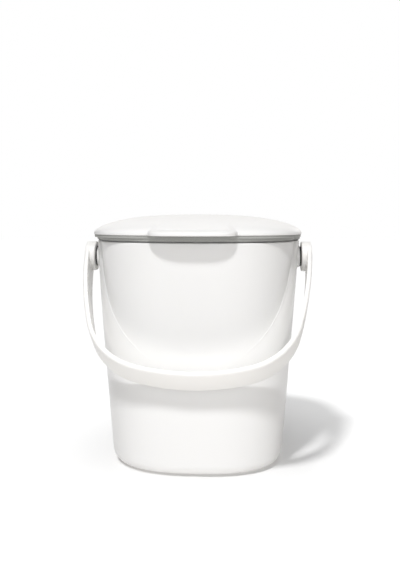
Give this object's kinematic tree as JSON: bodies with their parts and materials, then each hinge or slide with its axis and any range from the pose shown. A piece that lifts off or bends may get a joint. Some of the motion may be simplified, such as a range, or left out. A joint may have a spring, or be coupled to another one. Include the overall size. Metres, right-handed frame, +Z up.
{
  "type": "compost caddy with hinged lid",
  "caption": "Countertop compost caddy: tapered rounded bucket, hinged domed lid with a thumb tab and seal, and a strap handle that swings over it.",
  "frame": {"origin": "on the table, under the middle of the caddy's bounding box", "axes": "+Z up; -Y is the front, where the thumb tab is and where the handle hangs; +X to the right seen from the front"},
  "size_m": [0.2288, 0.2064, 0.2416],
  "materials": {
    "body_plastic": "satin white polypropylene, lightly glossy outside",
    "handle_plastic": "satin off-white polypropylene, a little warmer than the bucket",
    "liner_plastic": "fine matte mid-grey moulding",
    "seal_rubber": "soft dark grey elastomer",
    "pad_rubber": "dark grey non-slip rubber",
    "steel": "turned stainless steel",
    "nylon": "dark grey nylon"
  },
  "bodies": {
    "bucket_body": {"bucket": "body_plastic", "foot_pads": "pad_rubber", "hinge_pin": "steel", "hinge_pin_caps": "steel", "left_pivot_stud": "steel", "right_pivot_stud": "steel", "left_thrust_washer": "nylon", "right_thrust_washer": "nylon", "left_retaining_ring": "steel", "right_retaining_ring": "steel"},
    "lid": {"lid_shell": "body_plastic", "lid_liner": "liner_plastic", "lid_gasket": "seal_rubber", "liner_screws": "steel"},
    "handle": {"handle": "handle_plastic", "left_pivot_cap": "handle_plastic", "right_pivot_cap": "handle_plastic"}
  },
  "joints": [
    {"name": "lid_hinge", "type": "hinge", "parent": "bucket_body", "child": "lid", "pos_m": [0, 0.0954, 0.21965], "axis": [-1, 0, 0], "range_deg": [0, 102]},
    {"name": "handle_swing", "type": "hinge", "parent": "bucket_body", "child": "handle", "pos_m": [0, 0, 0.199], "axis": [-1, 0, 0], "range_deg": [0, 279]}
  ]
}
